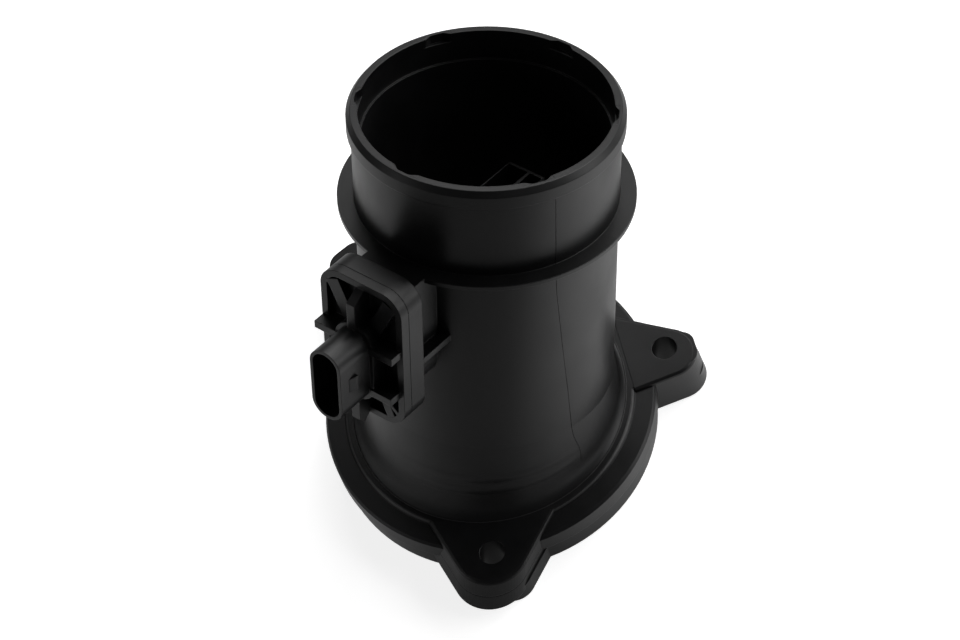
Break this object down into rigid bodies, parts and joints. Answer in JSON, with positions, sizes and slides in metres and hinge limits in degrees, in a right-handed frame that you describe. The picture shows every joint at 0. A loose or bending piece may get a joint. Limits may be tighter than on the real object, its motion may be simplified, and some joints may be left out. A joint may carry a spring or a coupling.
{
  "type": "mass airflow sensor",
  "caption": "Plug-in mass airflow sensor in a leaning moulded tube with a hose spigot, a three-eared bolting flange and a ribbed side connector.",
  "frame": {"origin": "centre of the flange's flat underside, which the part stands on", "axes": "+Z out of the flange; the tube leans from there towards +X; the connector points to -X"},
  "size_m": [0.1372, 0.1323, 0.1405],
  "materials": {
    "housing_plastic": "satin black moulded, glass-filled",
    "sensor_plastic": "satin black moulded, glass-filled",
    "grid_plastic": "satin black moulded",
    "carrier_plastic": "fine moulded",
    "seal_rubber": "matt",
    "plate_metal": "brushed",
    "board_ceramic": "white ceramic",
    "chip_black": "moulded package",
    "film_silicon": "polished silicon",
    "contact_metal": "tinned",
    "bead_resin": "dipped resin"
  },
  "bodies": {
    "root": {"tube_housing": "housing_plastic", "sensor_housing": "sensor_plastic", "radial_seal": "seal_rubber", "bypass_cover": "sensor_plastic", "electronics_cover": "sensor_plastic", "base_plate": "plate_metal", "circuit_board": "board_ceramic", "evaluation_chip": "chip_black", "sensor_carrier": "carrier_plastic", "hot_film_chip": "film_silicon", "contact_1": "contact_metal", "contact_2": "contact_metal", "contact_3": "contact_metal", "contact_4": "contact_metal", "thermistor_bead": "bead_resin", "thermistor_lead_inner": "contact_metal", "thermistor_lead_outer": "contact_metal", "face_seal": "seal_rubber", "flow_grid": "grid_plastic"}
  },
  "joints": []
}
